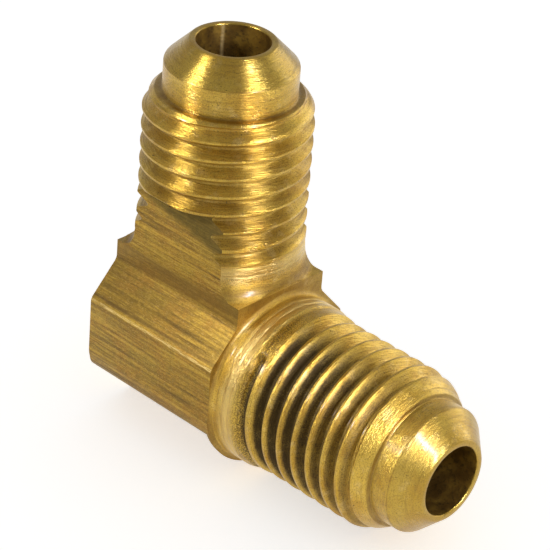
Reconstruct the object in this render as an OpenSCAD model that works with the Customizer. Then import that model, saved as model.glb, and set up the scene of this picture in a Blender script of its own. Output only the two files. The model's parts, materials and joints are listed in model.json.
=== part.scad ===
// Flare fitting: a right-angle union elbow with a male 45 degree flare on both ports.
// One piece of brass: keyhole-section bar, sawn to length, turned and threaded on two
// axes at right angles, then drilled from both ends until the bores meet.
// Frame: origin where the two port axes cross, +Z up the top port, -Y out of the front port.

/* [Reach] */
// Port axis crossing to the rim of the top port (mm)
top_reach = 22.1; // [20:0.1:30]
// Port axis crossing to the rim of the front port (mm)
front_reach = 21.4; // [19.4:0.1:30]

/* [Seat and nose] */
// Bore through both ports (mm)
bore_d = 4.8; // [3:0.1:6]
// Flat land around the mouth of the bore (mm)
rim_land = 0.4; // [0.2:0.05:0.8]
// Plain nose behind the flare seat, diameter (mm)
nose_d = 8.7; // [8:0.1:9.2]
// Rim to shoulder on the top port (mm)
top_nose_len = 3.5; // [3:0.1:4.5]
// Rim to shoulder on the front port (mm)
front_nose_len = 2.95; // [2.6:0.05:4]
// Angle of the flare seat from the port axis (degrees)
seat_angle = 45; // [37:1:45]

/* [Thread] */
// Major diameter of both threads (mm)
thread_d = 11.1; // [10.6:0.05:12]
// Thread pitch (mm)
thread_pitch = 1.27; // [1:0.01:1.5]
// Lead chamfer at the shoulder, measured along the port (mm)
lead_chamfer = 0.9; // [0.5:0.05:1.2]

/* [Body] */
// Width across the side flats (mm)
body_w = 12.1; // [11.8:0.1:14]
// Port axis down to the bottom flat (mm)
body_drop = 5.85; // [5.6:0.05:7]
// Top port axis to the back face (mm)
back_depth = 5.65; // [5.6:0.05:7]
// Top port axis to the front face (mm)
front_depth = 5.8; // [5.6:0.05:6.4]
// Width across the neck flats (mm)
neck_flat_w = 7.76; // [6.8:0.02:9]
// Height of the neck shoulder (mm)
shoulder_z = 6.5; // [6:0.05:6.6]
// Neck under the top thread, wider than the thread by this much on the diameter (mm)
neck_over = 0.1; // [0.02:0.02:1]
// Plain length of the neck between its fillet and the thread (mm)
neck_len = 0.1; // [0.05:0.05:2]
// Collar behind the front thread, wider than the thread by this much on the diameter (mm)
collar_over = 0.58; // [0.1:0.02:1]
// Plain length of the collar between its fillet and the thread (mm)
collar_len = 1.15; // [0.3:0.05:2]
// Radius of the fillet under the neck (mm)
neck_fillet = 0.8; // [0.4:0.05:1]
// Radius of the fillet under the collar (mm)
collar_fillet = 0.4; // [0.2:0.05:0.8]

/* [Hidden] */
round_steps = 96;
steps_per_turn = 36;
bore_r = bore_d / 2;
rim_r = bore_r + rim_land;
nose_r = nose_d / 2;
seat_len = (nose_r - rim_r) / tan(seat_angle);
thread_r = thread_d / 2;
neck_r = (thread_d + neck_over) / 2;
collar_r = (thread_d + collar_over) / 2;
half_w = body_w / 2;
half_neck = neck_flat_w / 2;

// 60 degree thread form, cut from a crest a quarter pitch wide
crest_flat = thread_pitch / 4;
root_flat = thread_pitch / 8;
flank_len = (thread_pitch - crest_flat - root_flat) / 2;
thread_depth = flank_len / tan(30);

// Heights along each port, measured from where the port axes cross
top_shoulder = top_reach - top_nose_len;
front_shoulder = front_reach - front_nose_len;
top_foot = shoulder_z + neck_fillet + neck_len;
front_foot = front_depth + collar_fillet + collar_len;
top_lead = top_shoulder - lead_chamfer;
front_lead = front_shoulder - lead_chamfer;

// Small step between the thread crests and the first circle of the lead chamfer
lead_step = 0.05;
// Depth of the shoulder ring around the nose, a third of the way out to the thread
shoulder_step = (thread_r - nose_r) / 3;
// Angle at which each groove starts, at the foot of its thread
top_start = 300;
front_start = 130;
// Share of a turn over which a groove reaches full depth
run_out = 0.6;

// Keyhole section of the bar, half of it, from the bottom flat to the top lobe
bottom_flat_half = 2;
side_low_z = -2.3;
side_low_in = 0.22;
side_round_z = -1.4;
side_top_z = 2.75;
hip_top_z = 5.1;
ledge_below_shoulder = 6.55;
ledge_reach = 0.82;
lobe_clear = 0.15;
lobe_round_h = 1;
lobe_round_steps = 6;
ledge_z = top_shoulder - ledge_below_shoulder;
ledge_half = half_neck + ledge_reach;
lobe_half = neck_r + lobe_clear;
bar_top = top_reach + 1;

// Half side of the cutter that keeps the block under its shoulder
keep_reach = 9;
// How far one turned solid runs into the next, so that they join
overlap = 0.4;
// How far a cutter runs past the face it cuts
clear = 1;
// Drill point, and how far past the crossing each drill runs
drill_tip_angle = 59;
drill_past = 0.6;

function bar_half() = concat(
    [[bottom_flat_half, -body_drop]],
    [[half_w - side_low_in, side_low_z]],
    [[half_w, side_round_z]],
    [[half_w, side_top_z]],
    [[half_neck, hip_top_z]],
    [[half_neck, ledge_z]],
    lobe_round(),
    [[lobe_half, bar_top]]
);

// Lower corner of the top lobe, a quarter ellipse from the ledge up to the lobe side
function lobe_round() = [
    for (k = [0 : lobe_round_steps])
        let (a = 90 * k / lobe_round_steps)
        [
            ledge_half + (lobe_half - ledge_half) * sin(a),
            ledge_z + lobe_round_h * (1 - cos(a))
        ]
];

function mirrored(pts) = [
    for (k = [len(pts) - 1 : -1 : 0])
        [-pts[k][0], pts[k][1]]
];

// Concave fillet as [radius, height] pairs, from the port side out to the foot flat
function fillet_pts(port_r, foot_h, fillet) = [
    for (k = [0 : 8])
        let (a = 90 * k / 8)
        [
            port_r + fillet * (1 - cos(a)),
            foot_h + fillet * (1 - sin(a))
        ]
];

// Bar section swept along Y between two stations
module bar(y_from, y_to) {
    translate([0, y_to, 0])
        rotate([90, 0, 0])
            linear_extrude(height = y_to - y_from)
                polygon(concat(bar_half(), mirrored(bar_half())));
}

// Depth of the groove at step i out of n, faded in at both ends
function groove_depth(i, n) =
    let (fade = steps_per_turn * run_out)
    thread_depth * min(1, i / fade, (n - i) / fade);

function on_thread(r, i, start, z) =
    let (a = start + 360 * i / steps_per_turn)
    [r * cos(a), r * sin(a), z];

// Threaded rod between two heights: one right-hand groove wound round a plain rod
module threaded_rod(z_foot, z_top, start) {
    n = steps_per_turn;
    lead = 0.06;
    rise = thread_pitch / n;
    z_first = z_foot + lead;
    t = floor((z_top - lead - z_first - thread_pitch) / rise);
    crest_low = [for (i = [0 : t + n]) on_thread(thread_r, i, start, z_first + i * rise)];
    crest_high = [for (i = [0 : t])
        on_thread(thread_r, i, start, z_first + i * rise + crest_flat)];
    root_low = [for (i = [0 : t])
        on_thread(thread_r - groove_depth(i, t), i, start,
            z_first + i * rise + crest_flat + flank_len)];
    root_high = [for (i = [0 : t])
        on_thread(thread_r - groove_depth(i, t), i, start,
            z_first + i * rise + crest_flat + flank_len + root_flat)];
    foot_ring = [for (i = [0 : n - 1]) on_thread(thread_r, i, start, z_foot)];
    top_ring = [for (i = [0 : n - 1]) on_thread(thread_r, t + i, start, z_top)];
    b = t + n + 1;
    c = b + t + 1;
    d = c + t + 1;
    e = d + t + 1;
    f = e + n;
    crest_faces = [for (i = [0 : t - 1]) [i, b + i, b + i + 1, i + 1]];
    low_flank = [for (i = [0 : t - 1]) each [
        [b + i, c + i, c + i + 1],
        [b + i, c + i + 1, b + i + 1]
    ]];
    root_faces = [for (i = [0 : t - 1]) [c + i, d + i, d + i + 1, c + i + 1]];
    high_flank = [for (i = [0 : t - 1]) each [
        [d + i, n + i, n + i + 1],
        [d + i, n + i + 1, d + i + 1]
    ]];
    foot_wall = [for (i = [0 : n - 2]) [e + i, i, i + 1, e + i + 1]];
    foot_seam = [[e + n - 1, n - 1, n, d, c, b, 0, e]];
    top_wall = [for (i = [1 : n - 1]) [t + i, f + i, f + (i + 1) % n, t + i + 1]];
    top_seam = [[t + 1, t, b + t, c + t, d + t, t + n, f, f + 1]];
    foot_cap = [[for (i = [0 : n - 1]) e + i]];
    top_cap = [[for (i = [n - 1 : -1 : 0]) f + i]];
    polyhedron(
        points = concat(crest_low, crest_high, root_low, root_high, foot_ring, top_ring),
        faces = concat(crest_faces, low_flank, root_faces, high_flank,
            foot_wall, foot_seam, top_wall, top_seam, foot_cap, top_cap)
    );
}

// Lead chamfer, shoulder, plain nose and flare seat of a port
module port_end(lead_h, shoulder_h, reach) {
    rotate_extrude($fn = round_steps)
        polygon([
            [0, lead_h],
            [thread_r - lead_step, lead_h],
            [nose_r + shoulder_step, shoulder_h],
            [nose_r, shoulder_h],
            [nose_r, reach - seat_len],
            [rim_r, reach],
            [0, reach]
        ]);
}

// Foot of a port: fillet and plain cylinder up to the thread
module port_foot(port_r, foot_h, thread_h, fillet) {
    rotate_extrude($fn = round_steps)
        polygon(concat(
            [[0, thread_h], [0, foot_h - overlap], [port_r + fillet, foot_h - overlap]],
            [for (k = [8 : -1 : 0]) fillet_pts(port_r, foot_h, fillet)[k]],
            [[port_r, thread_h]]
        ));
}

// Everything below the neck shoulder
module under_shoulder(y_from, y_to) {
    translate([-keep_reach, y_from, -keep_reach])
        cube([2 * keep_reach, y_to - y_from, keep_reach + shoulder_z]);
}

// Top port turned from the upright lobe, with the neck flats left by the bar section
module top_port() {
    intersection() {
        union() {
            port_foot(neck_r, shoulder_z, top_foot, neck_fillet);
            threaded_rod(top_foot, top_lead, top_start);
        }
        bar(-front_depth, back_depth);
    }
    port_end(top_lead, top_shoulder, top_reach);
}

// Front port turned round the bar's own direction
module front_port() {
    rotate([90, 0, 0]) {
        threaded_rod(front_foot, front_lead, front_start);
        port_end(front_lead, front_shoulder, front_reach);
    }
    intersection() {
        rotate([90, 0, 0])
            port_foot(collar_r, front_depth, front_foot, collar_fillet);
        union() {
            intersection() {
                bar(-front_foot, -front_depth + overlap);
                under_shoulder(-front_foot, -front_depth + overlap);
            }
            rotate([90, 0, 0])
                cylinder(r = collar_r, h = front_foot, $fn = round_steps);
        }
    }
}

// Block left between the two ports
module block() {
    intersection() {
        bar(-front_depth, back_depth);
        under_shoulder(-front_depth, back_depth);
    }
}

// Drilled passage, one drill from each port
module passage() {
    tip = bore_r / tan(drill_tip_angle);
    for (turn = [[0, top_reach], [90, front_reach]])
        rotate([turn[0], 0, 0]) {
            translate([0, 0, -drill_past])
                cylinder(r = bore_r, h = turn[1] + drill_past + clear, $fn = round_steps);
            translate([0, 0, -drill_past - tip])
                cylinder(r1 = 0, r2 = bore_r, h = tip, $fn = round_steps);
        }
}

module elbow_body() {
    color([0.72, 0.56, 0.24])
        difference() {
            union() {
                block();
                top_port();
                front_port();
            }
            passage();
        }
}

elbow_body();
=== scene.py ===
"""Flare elbow: one piece of brass, turned, threaded, drilled and worn.

The block, the top port and the front port are made one after another, in millimetres,
in the part's own frame, and brought to metres when each is finished.
"""

import math

import bmesh
import bpy
from mathutils import Matrix, Vector
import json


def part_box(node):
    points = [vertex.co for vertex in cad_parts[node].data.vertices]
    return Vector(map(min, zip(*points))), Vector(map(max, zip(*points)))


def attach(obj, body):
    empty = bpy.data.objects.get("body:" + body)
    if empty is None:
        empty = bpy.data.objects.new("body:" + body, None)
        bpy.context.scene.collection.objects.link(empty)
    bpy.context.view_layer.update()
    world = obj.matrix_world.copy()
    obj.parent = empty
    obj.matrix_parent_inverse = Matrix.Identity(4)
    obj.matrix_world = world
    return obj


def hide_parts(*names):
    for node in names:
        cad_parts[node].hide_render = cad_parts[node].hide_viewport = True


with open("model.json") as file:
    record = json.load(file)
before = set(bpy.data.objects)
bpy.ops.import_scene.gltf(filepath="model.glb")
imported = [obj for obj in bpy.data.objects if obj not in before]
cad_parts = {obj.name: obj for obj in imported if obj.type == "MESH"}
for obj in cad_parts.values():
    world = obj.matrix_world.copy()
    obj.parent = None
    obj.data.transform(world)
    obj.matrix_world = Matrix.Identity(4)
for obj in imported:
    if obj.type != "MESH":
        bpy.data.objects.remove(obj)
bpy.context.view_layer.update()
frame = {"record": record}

MM = 0.001
mounts = {mount["name"]: mount for mount in frame["record"]["mounts"]}
box_low, box_high = (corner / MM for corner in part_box("elbow_body"))

# Sizes that the frame gives, in mm
top_reach = box_high.z
front_reach = -box_low.y
back_depth = box_high.y
body_drop = -box_low.z
half_w = box_high.x
bore_r = mounts["top_bore"]["dims"]["r_mm"]
nose_r = mounts["top_nose"]["dims"]["r_mm"]

# The rest of the block and the ports, in mm
rim_land = 0.4
thread_r = 5.55
pitch = 1.27
thread_depth = 0.69
neck_r = 5.6
collar_r = 5.84
front_depth = 5.8
shoulder_z = 6.5
neck_fillet = 0.8
neck_fillet_rise = 1.3
collar_fillet = 0.4
neck_half = 3.88
hip_top = 5.1
side_top = 2.75
side_round = -1.4
side_low = -2.3
side_low_in = 0.22
bottom_half = 2.0
ledge_z = 12.05
ledge_half = 4.7
lobe_half = 5.75
lobe_round_h = 1.0
top_shoulder = top_reach - 3.5
front_shoulder = front_reach - 2.95
top_lead_len = 1.0
top_lead_r = 4.8
front_lead_len = 1.7
front_lead_r = 4.64
lead_bulge = 0.1
top_corner = 0.22
front_corner = 0.25
collar_step = 0.12
bar_edge = 0.22
sawn_edge = 0.07

# Thread groove, half widths in mm
groove_root = 0.10
groove_crest = 0.56
groove_rounding = 0.12

# How far the ports and drills run on inside the block, in mm
top_root = 6.2
front_root = 4.0
hidden_inset = 0.05
drill_start = 9.0
drill_past = 0.6
drill_tip = 1.4

# Mesh steps
columns = 432
rows_per_pitch = 16
fine = 1e-4
sharp_angle = math.radians(38)


# The studio lamps light only these pieces, so that the floor stays plain
lit_pieces = bpy.data.collections.new("lit_pieces")


# ---------------------------------------------------------------- mesh helpers

def smooth_step(low, high, x):
    t = min(1.0, max(0.0, (x - low) / (high - low)))
    return t * t * (3 - 2 * t)


def soft_min(a, b, blend):
    """The smaller of two sizes, with the corner between them rounded off."""
    h = min(1.0, max(0.0, 0.5 + 0.5 * (b - a) / blend))
    return b + (a - b) * h - blend * h * (1 - h)


def chain(bm, points):
    """A polyline of new vertices."""
    verts = [bm.verts.new(point) for point in points]
    edges = [bm.edges.new(pair) for pair in zip(verts, verts[1:])]
    return verts, edges


def add_mesh(bm, other):
    """Adds a second bmesh to the first and frees it."""
    mesh = bpy.data.meshes.new("part")
    other.to_mesh(mesh)
    other.free()
    bm.from_mesh(mesh)
    bpy.data.meshes.remove(mesh)


def wind(bm, points, lift=0.0):
    """Sweeps a profile once round the port's axis, rising by lift as it goes.

    A sixteenth of the turn is spun, and then doubled until it closes. A second sweep
    joins the first where their points meet.
    """
    swept = bmesh.new()
    verts, edges = chain(swept, points)
    share = 1 / 16
    bmesh.ops.spin(
        swept, geom=verts + edges, cent=(0, 0, 0), axis=(0, 0, 1),
        dvec=(0, 0, lift / columns), angle=math.tau * share,
        steps=round(columns * share), use_merge=False)
    while share < 1:
        geom = swept.verts[:] + swept.edges[:] + swept.faces[:]
        made = bmesh.ops.duplicate(swept, geom=geom)["geom"]
        copied = [item for item in made if isinstance(item, bmesh.types.BMVert)]
        turn = Matrix.Rotation(math.tau * share, 3, "Z")
        bmesh.ops.rotate(swept, cent=(0, 0, 0), matrix=turn, verts=copied)
        bmesh.ops.translate(swept, vec=(0, 0, lift * share), verts=copied)
        share *= 2
    bmesh.ops.remove_doubles(swept, verts=swept.verts, dist=fine)
    add_mesh(bm, swept)


def turned(bm, stations):
    """A turned surface through (radius, height) stations."""
    wind(bm, [(radius, 0, height) for radius, height in stations])


def arc(centre, radius, start, stop, steps):
    """(radius, height) stations round a corner of a turned profile."""
    angles = [math.radians(start + (stop - start) * k / steps) for k in range(steps + 1)]
    return [
        (centre[0] + radius * math.cos(angle), centre[1] + radius * math.sin(angle))
        for angle in angles
    ]


def spaced(start, stop, count):
    """Stations spaced evenly from start towards stop, with stop left out."""
    return [tuple(a + (b - a) * k / count for a, b in zip(start, stop)) for k in range(count)]


def cut_across(bm, verts, plane_point, plane_out):
    """New edges where a plane meets the faces at these points; returns all their points."""
    faces = {face for vert in verts for face in vert.link_faces}
    edges = {edge for face in faces for edge in face.edges}
    corners = {vert for face in faces for vert in face.verts}
    made = bmesh.ops.bisect_plane(
        bm, geom=list(corners) + list(edges) + list(faces), dist=1e-5,
        plane_co=plane_point, plane_no=plane_out)["geom_cut"]
    return corners | {item for item in made if isinstance(item, bmesh.types.BMVert)}


def mill(bm, verts, plane_point, plane_out):
    """Cuts a flat: an edge where the plane meets the metal, and all beyond laid on it."""
    out = Vector(plane_out)
    for vert in cut_across(bm, verts, plane_point, plane_out):
        beyond = (vert.co - Vector(plane_point)).dot(out)
        if beyond > 0:
            vert.co -= out * beyond


def object_from(bm, name):
    """An object in the scene with the bmesh as its mesh; the bmesh is used up."""
    mesh = bpy.data.meshes.new(name)
    bm.to_mesh(mesh)
    bm.free()
    made = bpy.data.objects.new(name, mesh)
    bpy.context.scene.collection.objects.link(made)
    return made


def finish_piece(bm, name, finishes, chooser):
    """Brings a piece to metres, gives its faces their finishes and sets it on the body."""
    bmesh.ops.remove_doubles(bm, verts=bm.verts, dist=fine)
    bmesh.ops.recalc_face_normals(bm, faces=bm.faces)
    for face in bm.faces:
        face.material_index = chooser(face.calc_center_median(), face.normal)
    bmesh.ops.scale(bm, vec=(MM, MM, MM), verts=bm.verts)
    piece = object_from(bm, name)
    for finish in finishes:
        piece.data.materials.append(finish)
    piece.data.shade_smooth()
    piece.data.set_sharp_from_angle(angle=sharp_angle)
    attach(piece, "root")
    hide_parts("elbow_body")
    lit_pieces.objects.link(piece)


# ---------------------------------------------------------------- threads

def groove(along):
    """Depth of the thread at a distance from the middle of its groove, 0 to 1."""
    slope = (groove_crest - along) / (groove_crest - groove_root)
    return soft_min(1.0, slope, groove_rounding) if slope > 0 else 0.0


class Thread:
    """A right-hand groove: where one turn of it lies, and where it starts.

    At the angle, in degrees, the middle of a turn is at the height. The groove starts at
    start_turn, first_depth deep, and reaches its whole depth after fade_turns.
    """

    def __init__(self, height, angle, start_turn, first_depth, fade_turns):
        self.height = height
        self.angle = angle
        self.start_turn = start_turn
        self.first_depth = first_depth
        self.fade_turns = fade_turns

    def depth(self, angle, height):
        middle = self.height + pitch * (angle - self.angle) / 360
        turn = round((height - middle) / pitch)
        along = abs(height - middle - turn * pitch)
        run = turn + angle / 360 - self.start_turn
        if run < 0:
            return 0.0
        begun = smooth_step(0, 0.02, run)
        share = self.first_depth + (1 - self.first_depth) * min(1.0, run / self.fade_turns)
        return thread_depth * begun * max(0.0, groove(along) - (1 - share))


def threaded_band(bm, low, high, thread, body_radius, end_radius):
    """The threaded length of a port: a column of points wound round with the thread."""
    step = pitch / rows_per_pitch
    start = thread.height - math.ceil((thread.height - low) / pitch + 1) * pitch
    start -= pitch * thread.angle / 360
    count = math.ceil((high - start) / step) + 1
    wind(bm, [(thread_r, 0, start + k * step) for k in range(count)], lift=pitch)
    for vert in bm.verts:
        height = min(high, max(low, vert.co.z))
        angle = math.degrees(math.atan2(vert.co.y, vert.co.x)) % 360
        radius = body_radius(height) - thread.depth(angle, height)
        radius = soft_min(radius, end_radius(height), 0.06)
        if height >= high - fine:
            radius = end_radius(high)
        if height <= low + fine:
            radius = body_radius(low)
        flat = Vector((vert.co.x, vert.co.y, 0)).normalized() * radius
        vert.co = (flat.x, flat.y, height)
    bmesh.ops.remove_doubles(bm, verts=bm.verts, dist=fine)


def nose_profile(shoulder, reach, corner):
    """Shoulder, undercut, plain nose, flare seat, rim and bore mouth of a port."""
    rim_r = bore_r + rim_land
    seat_foot = reach - (nose_r - rim_r)
    nose_foot = shoulder + 0.12
    nose_end = seat_foot - corner * math.tan(math.radians(22.5))
    stations = [(4.6, shoulder + 0.02), (4.44, shoulder + 0.04)]
    stations += spaced((nose_r, nose_foot), (nose_r, nose_end), 8)
    stations += arc((nose_r - corner, nose_end), corner, 0, 45, 5)
    rim_edge = (rim_r + 0.04, reach - 0.04)
    stations += spaced(stations[-1], rim_edge, 6)[1:] + [rim_edge]
    stations += [(rim_r - 0.04, reach), (rim_r - 0.2, reach)]
    return stations + arc((bore_r + 0.1, reach - 0.1), 0.1, 90, 180, 4)


def lead_radius(shoulder, length, end_r):
    """Radius of the lead chamfer at a height, from the shoulder back to the crests."""
    def radius(height):
        t = (shoulder - height) / length
        return end_r + (thread_r - end_r) * t + lead_bulge * math.sin(math.pi * min(1.0, t))
    return radius


# ---------------------------------------------------------------- pieces

def lobe_width(height):
    """Half width that the bar leaves at a height on the top port."""
    if height < ledge_z:
        return neck_half
    t = min(1.0, (height - ledge_z) / lobe_round_h)
    return ledge_half + (lobe_half - ledge_half) * math.sqrt(max(0.0, 1 - (1 - t) ** 2))


def sink(verts):
    """Draws the hidden foot of a port in a little, so that it lies inside the block."""
    for vert in verts:
        reach = Vector((vert.co.x, vert.co.y, 0))
        vert.co -= reach.normalized() * hidden_inset


def build_top_port(finishes):
    bm = bmesh.new()
    foot = shoulder_z + neck_fillet_rise
    thread = Thread(15.35, 135, -6 + 300 / 360, 0.15, 1.1)

    def body_radius(h):
        rings = sum(0.04 * (1 - smooth_step(0, 0.13, abs(h - at))) for at in (8.05, 8.7))
        return neck_r - (neck_r - thread_r) * smooth_step(8.9, 9.5, h) - rings

    lead = lead_radius(top_shoulder, top_lead_len, top_lead_r)
    threaded_band(bm, foot, top_shoulder, thread, body_radius, lead)
    nose = nose_profile(top_shoulder, top_reach, top_corner)
    turned(bm, [(lead(top_shoulder), top_shoulder)] + nose + [(bore_r, top_root)])
    stretch = neck_fillet_rise / neck_fillet
    round_foot = arc((neck_r + neck_fillet, neck_fillet), neck_fillet, 180, 270, 12)
    fillet = [(radius, shoulder_z + height * stretch) for radius, height in round_foot]
    foot_r = fillet[-1][0]
    inside = [(foot_r, shoulder_z - 0.02), (foot_r, top_root), (bore_r, top_root)]
    turned(bm, fillet + inside)
    for above in (-0.02, 0.02, 0.12, 0.3, 0.6):
        height = ledge_z + above
        near = [v for v in bm.verts if abs(v.co.z - height) < 0.2 and v.co.xy.length > 4]
        cut_across(bm, near, (0, 0, height), (0, 0, 1))
    for side in (-1, 1):
        below = [v for v in bm.verts if v.co.z < ledge_z - 0.03 and v.co.x * side > 3.3]
        mill(bm, below, (side * neck_half, 0, 0), (side, 0, 0))
    for vert in bm.verts:
        if ledge_z < vert.co.z < ledge_z + lobe_round_h + 0.3:
            width = lobe_width(vert.co.z)
            vert.co.x = max(-width, min(width, vert.co.x))
    for y, out in ((-front_depth, -1), (back_depth, 1)):
        low = [v for v in bm.verts if v.co.z < foot + 0.2 and v.co.xy.length > bore_r + 0.5]
        mill(bm, low, (0, y, 0), (0, out, 0))
    sink([v for v in bm.verts if v.co.z < shoulder_z - 0.01 and v.co.xy.length > 3])

    def chooser(place, normal):
        if place.xy.length < bore_r + 0.1 and place.z < top_reach - 0.15:
            return 2
        flat = abs(abs(place.x) - neck_half) < 0.01 and place.z < ledge_z
        return 1 if flat else 0

    finish_piece(bm, "top_port", finishes, chooser)


def bar_outline():
    """The bar's section below the neck shoulder, right half then left, as (x, z)."""
    half = [
        (bottom_half, -body_drop),
        (half_w - side_low_in, side_low),
        (half_w, side_round),
        (half_w, side_top),
        (neck_half, hip_top),
        (neck_half, shoulder_z),
    ]
    return half + [(-x, z) for x, z in reversed(half)]


def build_front_port(finishes):
    """Made standing up, with its height along Z, and then laid out along -Y."""
    bm = bmesh.new()
    foot = front_depth + collar_fillet
    thread = Thread(15.5, 51.3, -6 + 130 / 360, 0.62, 0.8)

    def body_radius(h):
        rings = sum(0.05 * (1 - smooth_step(0, 0.13, abs(h - at))) for at in (6.7, 7.25))
        step = collar_step * smooth_step(7.6, 7.95, h)
        slope = (collar_r - collar_step - thread_r) * smooth_step(8.0, 9.7, h)
        return collar_r - rings - step - slope

    lead = lead_radius(front_shoulder, front_lead_len, front_lead_r)
    threaded_band(bm, foot, front_shoulder, thread, body_radius, lead)
    nose = nose_profile(front_shoulder, front_reach, front_corner)
    turned(bm, [(lead(front_shoulder), front_shoulder)] + nose + [(bore_r, front_root)])
    fillet = arc((collar_r + collar_fillet, foot), collar_fillet, 180, 270, 10)
    foot_r = fillet[-1][0]
    inside = [(foot_r, front_depth - 0.02), (foot_r, 5.5), (4.0, 5.4), (4.0, front_root)]
    turned(bm, fillet + inside + [(bore_r, front_root)])
    nearest_trim = 5.7
    outline = bar_outline()
    for (x0, z0), (x1, z1) in zip(outline, outline[1:] + outline[:1]):
        along = Vector((x1 - x0, z1 - z0))
        out = Vector((along.y, -along.x)).normalized()
        distance = out.dot(Vector((x0, z0)))
        if distance < nearest_trim:
            continue
        low = [v for v in bm.verts if v.co.z < foot and v.co.xy.length > 5]
        mill(bm, low, (out.x * distance, out.y * distance, 0), (out.x, out.y, 0))
    sink([v for v in bm.verts if v.co.z < front_depth - 0.01 and v.co.xy.length > 4.5])
    lay_forward = Matrix.Rotation(math.radians(90), 3, "X")
    bmesh.ops.rotate(bm, cent=(0, 0, 0), matrix=lay_forward, verts=bm.verts)

    def chooser(place, normal):
        if place.xz.length < bore_r + 0.1 and place.y > 0.15 - front_reach:
            return 2
        flat = place.y > -foot and abs(normal.y) < 0.02 and place.xz.length > collar_r - 0.3
        return 1 if flat else 0

    finish_piece(bm, "front_port", finishes, chooser)


def solid_from(bm, name):
    """A loose object, still in millimetres, for one solid to cut another."""
    bmesh.ops.recalc_face_normals(bm, faces=bm.faces)
    return object_from(bm, name)


def cut_away(body, tool):
    """A bmesh of one solid less another; both objects are used up."""
    cut = body.modifiers.new("cut", "BOOLEAN")
    cut.operation = "DIFFERENCE"
    cut.solver = "EXACT"
    cut.object = tool
    bpy.context.view_layer.update()
    made = bmesh.new()
    made.from_object(body, bpy.context.evaluated_depsgraph_get())
    for used in (body, tool):
        mesh = used.data
        bpy.data.objects.remove(used)
        bpy.data.meshes.remove(mesh)
    return made


def drill(radius, tip_depth):
    """A twist drill's swept shape: straight down the Z axis, with a blunt point."""
    bm = bmesh.new()
    tip = -drill_past - tip_depth / 2
    turned(bm, [(radius, drill_start), (radius, -drill_past), (radius * 0.5, tip)])
    for ring_height in (drill_start, tip):
        ring = [e for e in bm.edges if all(abs(v.co.z - ring_height) < fine for v in e.verts)]
        bmesh.ops.contextual_create(bm, geom=ring)
    return bm


def build_block(finishes):
    bm = bmesh.new()
    face = bm.faces.new([bm.verts.new((x, back_depth, z)) for x, z in bar_outline()])
    made = bmesh.ops.extrude_face_region(bm, geom=[face])["geom"]
    moved = [item for item in made if isinstance(item, bmesh.types.BMVert)]
    bmesh.ops.translate(bm, vec=(0, -front_depth - back_depth, 0), verts=moved)
    bmesh.ops.recalc_face_normals(bm, faces=bm.faces)
    long_edges = [
        edge for edge in bm.edges
        if abs(edge.verts[0].co.y - edge.verts[1].co.y) > 1 and edge.verts[0].co.z < shoulder_z - 1
    ]
    bmesh.ops.bevel(
        bm, geom=long_edges, offset=bar_edge, offset_type="OFFSET", affect="EDGES", segments=4,
        profile=0.5, material=-1)
    back_edges = [
        edge for edge in bm.edges
        if all(abs(v.co.y - back_depth) < fine for v in edge.verts)
    ]
    bmesh.ops.bevel(
        bm, geom=back_edges, offset=sawn_edge, offset_type="OFFSET", affect="EDGES", segments=2,
        profile=0.5, material=-1)
    for angle in (0, 90):
        bit = drill(bore_r + 0.01, drill_tip)
        turn = Matrix.Rotation(math.radians(angle), 3, "X")
        bmesh.ops.rotate(bit, cent=(0, 0, 0), matrix=turn, verts=bit.verts)
        bm = cut_away(solid_from(bm, "block_blank"), solid_from(bit, "drill"))

    def chooser(place, normal):
        if place.y > back_depth - fine:
            return 1
        if place.y < fine - front_depth:
            return 3
        if place.z > shoulder_z - fine:
            return 4
        near_bore = min(place.xy.length, place.xz.length) < bore_r + 0.1
        return 2 if near_bore and place.z > fine - body_drop else 0

    finish_piece(bm, "block", finishes, chooser)


# ---------------------------------------------------------------- finishes

class Field:
    """A number that varies over the surface, so that shader maths reads as sums."""

    def __init__(self, finish, socket):
        self.finish = finish
        self.socket = socket

    def math(self, operation, *terms):
        return self.finish.number("ShaderNodeMath", {"operation": operation}, *terms)

    def __add__(self, other):
        return self.math("ADD", self, other)

    def __sub__(self, other):
        return self.math("SUBTRACT", self, other)

    def __rsub__(self, other):
        return self.math("SUBTRACT", other, self)

    def __mul__(self, other):
        return self.math("MULTIPLY", self, other)

    def __truediv__(self, other):
        return self.math("DIVIDE", self, other)

    __radd__ = __add__
    __rmul__ = __mul__

    def size(self):
        return self.math("ABSOLUTE", self)

    def power(self, exponent):
        return self.math("POWER", self, exponent)

    def least(self, other):
        return self.math("MINIMUM", self, other)

    def rise(self, low, high):
        """0 below low, 1 above high, and a smooth rise between."""
        return self.finish.number(
            "ShaderNodeMapRange", {"interpolation_type": "SMOOTHSTEP"}, self, low, high, 0, 1)

    def near(self, middle, reach):
        """1 at the middle, falling smoothly to 0 a reach away."""
        return 1 - (self - middle).size().rise(0, reach)


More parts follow.
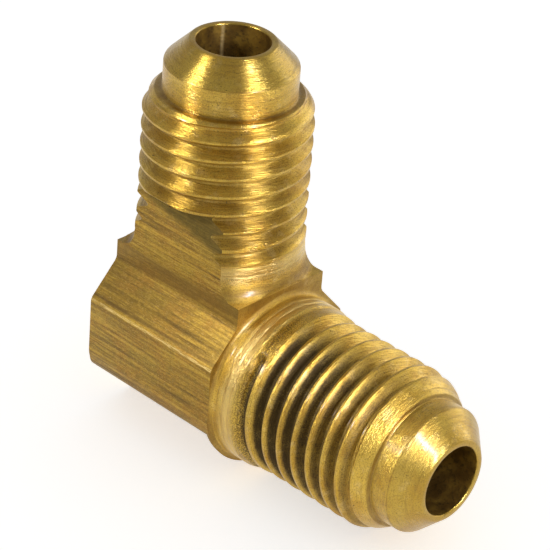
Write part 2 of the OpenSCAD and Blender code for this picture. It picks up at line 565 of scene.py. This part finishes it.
class Finish:
    """A material, and the place on the piece in millimetres."""

    def __init__(self, name):
        self.material = bpy.data.materials.new(name)
        self.material.use_nodes = True
        self.tree = self.material.node_tree
        self.tree.nodes.clear()
        place = self.node("ShaderNodeTexCoord").outputs["Object"]
        scaled = self.node(
            "ShaderNodeVectorMath", {"operation": "SCALE"}, {0: place, "Scale": 1 / MM})
        split = self.node("ShaderNodeSeparateXYZ", {}, {0: scaled.outputs[0]})
        self.x, self.y, self.z = (Field(self, split.outputs[k]) for k in range(3))

    def node(self, kind, settings=None, inputs=None):
        made = self.tree.nodes.new(kind)
        for key, value in (settings or {}).items():
            setattr(made, key, value)
        for key, value in (inputs or {}).items():
            value = value.socket if isinstance(value, Field) else value
            if isinstance(value, bpy.types.NodeSocket):
                self.tree.links.new(value, made.inputs[key])
            else:
                made.inputs[key].default_value = value
        return made

    def number(self, kind, settings, *terms):
        return Field(self, self.node(kind, settings, dict(enumerate(terms))).outputs[0])

    def grain(self, x, y, z, detail=3.0, roughness=0.55, seed=0.0):
        """Cloudy noise of about one unit, 0 to 1, on coordinates already scaled."""
        where = self.node("ShaderNodeCombineXYZ", {}, {0: x + seed, 1: y, 2: z})
        made = self.node("ShaderNodeTexNoise", {"noise_dimensions": "3D"}, {
            "Vector": where.outputs[0], "Scale": 1.0, "Detail": detail, "Roughness": roughness})
        return Field(self, made.outputs[0])

    def cloud(self, scale, detail=3.0, seed=0.0):
        return self.grain(self.x * scale, self.y * scale, self.z * scale, detail, 0.55, seed)

    def mix(self, share, under, over):
        made = self.node("ShaderNodeMix", {"data_type": "RGBA"}, {0: share, 6: under, 7: over})
        return made.outputs[2]

    def layers(self, tint, *coats):
        """Colours laid over one another, in order, as (share, colour)."""
        for share, over in coats:
            tint = self.mix(share, tint, over)
        return tint

    def shade(self, tint, roughness, metallic, height, depth_mm, coat=0.0, anisotropic=0.0):
        bump = self.node("ShaderNodeBump", {}, {
            "Height": height, "Distance": depth_mm * MM, "Strength": 1.0})
        shader = self.node("ShaderNodeBsdfPrincipled", {}, {
            "Base Color": tint, "Roughness": roughness, "Metallic": metallic,
            "Coat Weight": coat, "Coat Roughness": 0.2, "Coat IOR": 2.0,
            "Anisotropic": anisotropic, "Anisotropic Rotation": 0.25, "Normal": bump.outputs[0]})
        end = self.node("ShaderNodeOutputMaterial")
        self.tree.links.new(shader.outputs[0], end.inputs[0])
        return self.material


def colour(red, green, blue):
    return (red, green, blue, 1.0)


clean_brass = colour(0.53, 0.315, 0.036)
yellow_brass = colour(0.63, 0.41, 0.06)
pale_brass = colour(0.76, 0.55, 0.19)
dull_brass = colour(0.30, 0.195, 0.025)
olive_brass = colour(0.26, 0.18, 0.03)
orange_tint = colour(0.42, 0.21, 0.03)
# Brown tarnish, also used for painted shade at the ports' corners
brown_tarnish_and_shade = colour(0.18, 0.10, 0.018)
# Dark olive for the painted shadow under the thread's ledge on the neck flats
painted_shadow_olive = colour(0.11, 0.078, 0.018)
edge_brown = colour(0.08, 0.045, 0.015)
# Dark grime, also used for painted shade in the thread grooves
dark_grime_and_shade = colour(0.045, 0.028, 0.008)


def turned_brass(name, axis, grime_shade_from, shoulder, reach, grime_shade_side):
    """Lathe-turned brass: fine lines round the port, tarnish in clouds, grime and painted shade in
    the grooves.

    The grime and painted shade in the grooves lie most on the side of X given by the last
    argument, -1 or 1, or are thin all round at 0.
    """
    finish = Finish(name)
    upright = axis == "Z"
    along = finish.z if upright else 0 - finish.y
    across = finish.y if upright else finish.z
    foot = shoulder_z + 0.4 if upright else front_depth
    foot_shade_reach = 0.7 if upright else 0.25
    seat_foot = reach - (nose_r - bore_r - rim_land)
    radius = (finish.x * finish.x + across * across).power(0.5)
    lines = finish.grain(finish.x * 0.35, across * 0.35, along * 8, 3, 0.6, 3)
    scratches = finish.grain(finish.x * 1.2, across * 1.2, along * 24, 2, 0.6, 11)
    clouds = finish.cloud(0.35, 3, 5)
    patches = finish.cloud(1.1, 4, 17)
    specks = finish.cloud(5.5, 2, 29)
    dust = finish.cloud(13, 2, 41)
    # Dark in the thread's grooves, heaviest on one side: grime and painted shade
    deep = (thread_r - 0.04 - radius).rise(0, 0.3)
    below_lead = 1 - along.rise(shoulder - 1.6, shoulder - 1.0)
    on_thread = along.rise(grime_shade_from, grime_shade_from + 0.5) * below_lead
    side = (grime_shade_side * finish.x / radius).rise(-0.35, 0.5) if grime_shade_side else 0.35
    early = 1 - 0.4 * along.rise(grime_shade_from + 3, shoulder - 1)
    grime_and_shade = (deep * on_thread * side * early * (0.35 + 0.6 * patches + 0.8 * dust)).least(1.0)
    seat_film = along.rise(seat_foot, seat_foot + 0.1) * (0.15 + 0.3 * clouds)
    # Dark rings at the seat's edge and in the undercut at the nose's foot: painted shade
    seat_shade_line = along.near(seat_foot, 0.09) * 0.5
    shoulder_shade_line = along.near(shoulder + 0.06, 0.14) * 0.8
    edge_shade_lines = ((seat_shade_line + shoulder_shade_line) * (0.4 + patches)).least(0.8)
    # Brown in the corner where the port meets the block: painted shade
    foot_shade = along.near(foot, foot_shade_reach) * (0.3 + 0.5 * patches)
    fresh_cut = along.near(foot + 1.3, 0.9) * 0.55
    # Dark where the groove starts, on the same side: grime and painted shade
    run_out_grime_and_shade = along.near(grime_shade_from + 0.4, 0.8) * side * dust.rise(0.4, 0.55)
    tint = finish.layers(
        clean_brass,
        (clouds.rise(0.38, 0.62), yellow_brass),
        (patches.rise(0.52, 0.72) * 0.4, orange_tint),
        ((1 - patches).rise(0.52, 0.75) * 0.5, pale_brass),
        (lines.rise(0.5, 0.72) * 0.4, brown_tarnish_and_shade),
        (dust.rise(0.46, 0.7) * 0.6, brown_tarnish_and_shade),
        (specks.rise(0.66, 0.74) * 0.7, dark_grime_and_shade),
        (grime_and_shade * 0.93, dark_grime_and_shade),
        (seat_film, olive_brass),
        (edge_shade_lines, brown_tarnish_and_shade),
        (foot_shade, brown_tarnish_and_shade),
        (fresh_cut, pale_brass),
        (run_out_grime_and_shade * 0.75, dark_grime_and_shade))
    roughness = 0.17 + 0.1 * clouds + 0.2 * lines * patches + 0.06 * dust + 0.3 * grime_and_shade
    roughness = (roughness + 0.25 * along.near(foot, 1.0)).least(0.8)
    metallic = 1 - 0.25 * grime_and_shade
    height = lines * 0.5 + scratches * 0.7 + dust * 0.15
    coat = 0.12 - 0.12 * grime_and_shade
    anisotropic = 0.85 if upright else 0.0
    return finish.shade(tint, roughness, metallic, height, 0.06, coat, anisotropic)


def drawn_brass():
    """The bar's drawn skin: grain along Y, in bands of brown and yellow, with a painted shadow
    high on the neck flats.
    """
    finish = Finish("drawn_brass")
    bands = finish.grain(finish.x * 0.5, finish.y * 0.06, finish.z, 3, 0.6, 7)
    grain = finish.grain(finish.x * 5, finish.y * 0.2, finish.z * 8, 4, 0.65, 19)
    streaks = finish.grain(finish.x * 2, finish.y * 0.09, finish.z * 3.4, 3, 0.7, 61)
    scratches = finish.grain(finish.x * 12, finish.y * 1.1, finish.z * 20, 3, 0.65, 23)
    flecks = finish.grain(finish.x * 22, finish.y * 5, finish.z * 30, 2, 0.6, 53)
    clouds = finish.cloud(0.45, 4, 31)
    mottle = finish.cloud(2.6, 5, 47)
    dust = finish.cloud(9, 3, 37)
    on_neck = finish.z.rise(hip_top, hip_top + 0.3)
    on_hip = finish.z.rise(side_top + 0.1, side_top + 0.2) * (1 - on_neck)
    hip_band = finish.z.near(3.75, 0.3) * on_hip * (0.4 + 0.6 * bands)
    # Dark olive high on the neck flats, under the thread's ledge: a painted shadow
    painted_shadow_line = 9.6 + 0.22 * (finish.y + 3.2)
    neck_painted_shadow = on_neck * (finish.z - painted_shadow_line).rise(-0.5, 0.4)
    neck_foot = on_neck * (1 - finish.z.rise(6.3, 6.8))
    corner_line = finish.z.near(side_top + 0.3, 0.16) * (0.3 + bands)
    bright_line = finish.z.near(side_top - 0.04, 0.15) * scratches.rise(0.42, 0.56)
    tint = finish.layers(
        dull_brass,
        (bands.rise(0.38, 0.6), clean_brass),
        (clouds.rise(0.42, 0.62) * 0.75, orange_tint),
        (mottle.rise(0.46, 0.66) * 0.55, olive_brass),
        (grain.rise(0.45, 0.66) * 0.5, brown_tarnish_and_shade),
        (scratches.rise(0.5, 0.64) * 0.55, brown_tarnish_and_shade),
        (streaks.rise(0.48, 0.62) * 0.6, brown_tarnish_and_shade),
        (streaks.rise(0.6, 0.68) * 0.6, dark_grime_and_shade),
        ((1 - streaks).rise(0.52, 0.66) * 0.55, yellow_brass),
        (flecks.rise(0.52, 0.68) * 0.4, dark_grime_and_shade),
        ((1 - flecks).rise(0.55, 0.7) * 0.4, pale_brass),
        ((1 - scratches).rise(0.56, 0.7) * 0.6, yellow_brass),
        ((1 - grain).rise(0.54, 0.7) * 0.5, yellow_brass),
        (dust.rise(0.52, 0.68) * 0.5, brown_tarnish_and_shade),
        (0.1 + 0.15 * mottle, brown_tarnish_and_shade),
        (on_hip * (0.05 + 0.35 * mottle), brown_tarnish_and_shade),
        (hip_band * 0.5, dark_grime_and_shade),
        (neck_painted_shadow * (0.5 + 0.5 * mottle), painted_shadow_olive),
        (neck_foot * (0.35 + 0.5 * mottle), brown_tarnish_and_shade),
        (corner_line * 0.75, edge_brown),
        (bright_line * 0.9, pale_brass))
    roughness = (0.34 + 0.22 * grain + 0.1 * clouds + 0.2 * neck_painted_shadow).least(0.85)
    metallic = 1 - 0.15 * grain
    height = grain * 0.6 + streaks * 0.8 + scratches * 0.5 + flecks * 0.25 + mottle * 0.2
    return finish.shade(tint, roughness, metallic, height, 0.03)


def sawn_brass():
    """The bar's sawn end: fine arcs across the face."""
    finish = Finish("sawn_brass")
    bowed = finish.z + finish.x * finish.x * 0.02
    arcs = finish.grain(finish.x * 0.4, finish.y, bowed * 12, 3, 0.6, 3)
    clouds = finish.cloud(0.6, 3, 9)
    tint = finish.layers(
        clean_brass,
        (clouds.rise(0.4, 0.65), yellow_brass),
        (arcs.rise(0.5, 0.7) * 0.4, brown_tarnish_and_shade))
    return finish.shade(tint, 0.36 + 0.2 * arcs, 1 - 0.1 * arcs, arcs, 0.012)


def drilled_brass():
    """The bore: dark oxide over drill marks, with a painted highlight down one side."""
    finish = Finish("drilled_brass")
    clouds = finish.cloud(0.8, 3, 13)
    marks = finish.cloud(3.5, 3, 21)
    # A pale vertical line on one side of the top bore: a painted highlight
    bore_painted_highlight = finish.x.near(1.15, 0.16) * finish.y.rise(0.5, 1.0) * finish.z.rise(6, 9)
    tint = finish.layers(
        brown_tarnish_and_shade,
        (clouds.rise(0.35, 0.7) * 0.5, clean_brass),
        (marks.rise(0.5, 0.7) * 0.6, dark_grime_and_shade),
        (bore_painted_highlight * (0.4 + 0.6 * marks), pale_brass))
    return finish.shade(tint, 0.3 + 0.2 * marks, 1 - 0.3 * clouds, marks, 0.02)


bar_skin = drawn_brass()
bar_end = sawn_brass()
bore_skin = drilled_brass()
top_skin = turned_brass("turned_brass_top", "Z", 7.4, top_shoulder, top_reach, 0)
front_skin = turned_brass("turned_brass_front", "Y", 7.8, front_shoulder, front_reach, -1)
build_block([bar_skin, bar_end, bore_skin, front_skin, top_skin])
build_top_port([top_skin, bar_skin, bore_skin])
build_front_port([front_skin, bar_skin, bore_skin])


# ---------------------------------------------------------------- stage, light, camera

middle = Vector((0, -0.004, 0.006))
lamp_distance = 0.4


def area_light(name, azimuth, elevation, size, power, tint=(1, 1, 1)):
    """A lamp aimed at the middle: azimuth 0 is in front, along -Y, and 90 along +X."""
    turn = math.radians(azimuth)
    lift = math.radians(elevation)
    away = Vector((
        math.sin(turn) * math.cos(lift), -math.cos(turn) * math.cos(lift), math.sin(lift)))
    lamp = bpy.data.lights.new(name, "AREA")
    lamp.shape = "RECTANGLE"
    lamp.size, lamp.size_y = size
    lamp.energy = power
    lamp.color = tint
    holder = bpy.data.objects.new(name, lamp)
    holder.location = away * lamp_distance
    holder.rotation_euler = (middle - holder.location).to_track_quat("-Z", "Y").to_euler()
    bpy.context.scene.collection.objects.link(holder)
    holder.light_linking.receiver_collection = lit_pieces


def build_stage():
    bm = bmesh.new()
    bmesh.ops.create_grid(bm, x_segments=1, y_segments=1, size=2.0)
    bmesh.ops.translate(bm, vec=(0, 0, -body_drop * MM), verts=bm.verts)
    floor = object_from(bm, "floor")
    finish = bpy.data.materials.new("pale_floor")
    finish.use_nodes = True
    shader = finish.node_tree.nodes["Principled BSDF"]
    shader.inputs["Base Color"].default_value = (0.93, 0.93, 0.93, 1)
    shader.inputs["Roughness"].default_value = 0.8
    shader.inputs["Emission Color"].default_value = (1, 1, 1, 1)
    shader.inputs["Emission Strength"].default_value = 0.58
    floor.data.materials.append(finish)


def build_camera():
    camera = bpy.data.cameras.new("camera")
    camera.lens = 169.9
    camera.sensor_width = 36
    camera.shift_x = 0.0156
    camera.shift_y = -0.0033
    camera.clip_start = 0.01
    camera.clip_end = 10
    holder = bpy.data.objects.new("camera", camera)
    place = (-0.10644, -0.10206, 0.09221)
    right = Vector((0.7042, -0.7066, 0.0697)).normalized()
    ahead = Vector((0.6348, 0.5826, -0.5075))
    ahead = (ahead - right * ahead.dot(right)).normalized()
    facing = Matrix((right, right.cross(ahead), -ahead)).transposed().to_4x4()
    holder.matrix_world = Matrix.Translation(place) @ facing
    bpy.context.scene.collection.objects.link(holder)
    bpy.context.scene.camera = holder


def build_world():
    world = bpy.data.worlds.new("studio")
    world.use_nodes = True
    back = world.node_tree.nodes["Background"]
    back.inputs["Color"].default_value = (1, 1, 1, 1)
    back.inputs["Strength"].default_value = 0.5
    bpy.context.scene.world = world


build_stage()
build_world()
build_camera()
area_light("key", -116, 36, (0.03, 0.03), 1.0, (1.0, 1.03, 1.25))
area_light("strip", -3, 30, (0.01, 0.2), 1.5, (1.0, 1.05, 1.5))
area_light("right_card", 78, 10, (0.3, 0.35), 0.6)
bpy.context.scene.view_settings.view_transform = "Standard"
